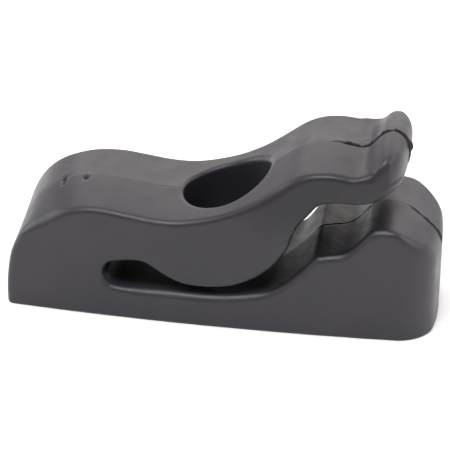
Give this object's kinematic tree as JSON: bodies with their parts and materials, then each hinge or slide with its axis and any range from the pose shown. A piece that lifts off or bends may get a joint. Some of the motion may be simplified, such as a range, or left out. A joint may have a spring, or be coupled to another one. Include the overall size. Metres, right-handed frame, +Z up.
{
  "type": "spring horn jam cleat",
  "caption": "Small moulded deck cleat with one springy horn over a flat foot; rope is pulled into the wedge under the horn and jams. Bolts down through a driver hole.",
  "frame": {"origin": "centre of the foot's underside, on the deck", "axes": "+X from the stem towards the horn's free tip and the mouth, +Y across the cleat, +Z up from the deck"},
  "size_m": [0.11, 0.0324, 0.0519],
  "materials": {
    "moulding": "satin moulded nylon, fine grain",
    "stainless": "turned, satin",
    "brass": "turned, knurled"
  },
  "bodies": {
    "foot": {"base": "moulding", "bolt_bush": "stainless", "stem_insert": "brass", "mouth_insert": "brass"},
    "horn_arm": {"horn": "moulding"}
  },
  "joints": [
    {"name": "horn_flex", "type": "hinge", "parent": "foot", "child": "horn_arm", "pos_m": [-0.021, 0, 0.024], "axis": [0, -1, 0], "range_deg": [-2, 3], "stiffness_Nm_per_rad": 300}
  ]
}
